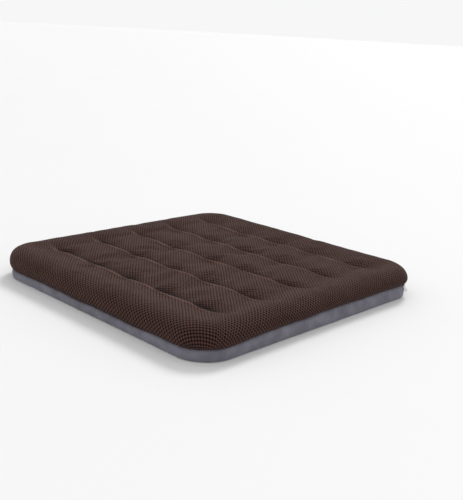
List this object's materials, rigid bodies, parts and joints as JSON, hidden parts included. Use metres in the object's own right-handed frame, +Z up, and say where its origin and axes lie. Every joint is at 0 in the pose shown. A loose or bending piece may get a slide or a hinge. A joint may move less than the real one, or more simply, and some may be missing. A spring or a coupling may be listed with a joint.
{
  "type": "seat cushion",
  "caption": "Square tufted seat cushion with a padded roll edge, spacer-mesh top, sewn side band, rear zip with a sliding pull, and a foam core in a liner.",
  "frame": {"origin": "middle of the underside, on the surface that the cushion lies on", "axes": "+Z up, -Y towards the front edge of the seat, +X towards the right of a viewer who faces the front edge; the zip runs along the +Y edge"},
  "size_m": [0.45, 0.45, 0.045],
  "materials": {
    "brown_spacer_mesh": "matt open spacer mesh with staggered holes",
    "brown_thread": "twisted thread",
    "grey_suede": "brushed matt microfibre",
    "grip_fabric": "matt cloth with a fine grip coating",
    "white_wadding": "soft fibre filling",
    "backing_cloth": "thin non-woven cloth",
    "liner_knit": "thin plain knit",
    "cream_foam": "fine open-cell foam",
    "zip_tape": "flat woven tape",
    "zip_nylon": "satin nylon coil",
    "zip_metal": "satin zinc alloy",
    "label_satin": "blank satin ribbon"
  },
  "bodies": {
    "cushion": {"top_mesh_panel": "brown_spacer_mesh", "quilt_padding": "white_wadding", "quilt_backing": "backing_cloth", "tack_row1_col1": "brown_thread", "tack_row1_col2": "brown_thread", "tack_row1_col3": "brown_thread", "tack_row1_col4": "brown_thread", "tack_row1_col5": "brown_thread", "tack_row2_col1": "brown_thread", "tack_row2_col2": "brown_thread", "tack_row2_col3": "brown_thread", "tack_row2_col4": "brown_thread", "tack_row2_col5": "brown_thread", "tack_row3_col1": "brown_thread", "tack_row3_col2": "brown_thread", "tack_row3_col3": "brown_thread", "tack_row3_col4": "brown_thread", "tack_row3_col5": "brown_thread", "tack_row4_col1": "brown_thread", "tack_row4_col2": "brown_thread", "tack_row4_col3": "brown_thread", "tack_row4_col4": "brown_thread", "tack_row4_col5": "brown_thread", "tack_row5_col1": "brown_thread", "tack_row5_col2": "brown_thread", "tack_row5_col3": "brown_thread", "tack_row5_col4": "brown_thread", "tack_row5_col5": "brown_thread", "band_front": "grey_suede", "band_rear_right": "grey_suede", "band_rear_left": "grey_suede", "zip_facing_upper": "grey_suede", "zip_facing_lower": "grey_suede", "zip_tape_upper": "zip_tape", "zip_tape_lower": "zip_tape", "zip_coil_upper": "zip_nylon", "zip_coil_lower": "zip_nylon", "zip_stop_right": "zip_metal", "zip_stop_left": "zip_metal", "seam_label": "label_satin", "base_panel": "grip_fabric", "core_liner": "liner_knit", "foam_core": "cream_foam"},
    "zip_slider": {"zip_slider": "zip_metal"},
    "zip_pull_tab": {"zip_pull_tab": "zip_metal"}
  },
  "joints": [
    {"name": "zip_slide", "type": "slide", "parent": "cushion", "child": "zip_slider", "axis": [-1, 0, 0], "range_m": [0, 0.324]},
    {"name": "pull_tab_swing", "type": "hinge", "parent": "zip_slider", "child": "zip_pull_tab", "pos_m": [0.162, 0.22335, 0.0088], "axis": [0, 0, -1], "range_deg": [0, 175]}
  ]
}
